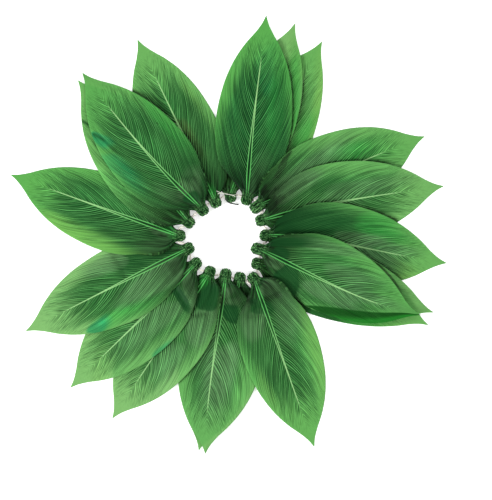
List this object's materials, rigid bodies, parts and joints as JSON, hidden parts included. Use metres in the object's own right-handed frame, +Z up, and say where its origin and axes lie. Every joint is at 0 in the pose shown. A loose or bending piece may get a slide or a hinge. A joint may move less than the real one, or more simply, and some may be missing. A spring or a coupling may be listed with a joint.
{
  "type": "ti leaf skirt",
  "caption": "Grass-skirt style waist skirt of printed satin ti leaves, gathered on a ring of elastic and laid out flat as a rosette with an open waist.",
  "frame": {"origin": "middle of the laid-out rosette's box, at the surface that it lies on", "axes": "+Z up, out of the leaves' printed faces; +Y towards the top of the picture; +X towards its right"},
  "size_m": [0.3195, 0.3211, 0.0116],
  "materials": {
    "satin_leaf": "printed polyester satin, soft sheen",
    "elastic": "textile-covered round elastic, matte"
  },
  "bodies": {
    "root": {"leaf_01": "satin_leaf", "leaf_02": "satin_leaf", "leaf_03": "satin_leaf", "leaf_04": "satin_leaf", "leaf_05": "satin_leaf", "leaf_06": "satin_leaf", "leaf_07": "satin_leaf", "leaf_08": "satin_leaf", "leaf_09": "satin_leaf", "leaf_10": "satin_leaf", "leaf_11": "satin_leaf", "leaf_12": "satin_leaf", "leaf_13": "satin_leaf", "leaf_14": "satin_leaf", "leaf_15": "satin_leaf", "leaf_16": "satin_leaf", "leaf_17": "satin_leaf", "leaf_18": "satin_leaf", "leaf_19": "satin_leaf", "waist_elastic": "elastic"}
  },
  "joints": []
}
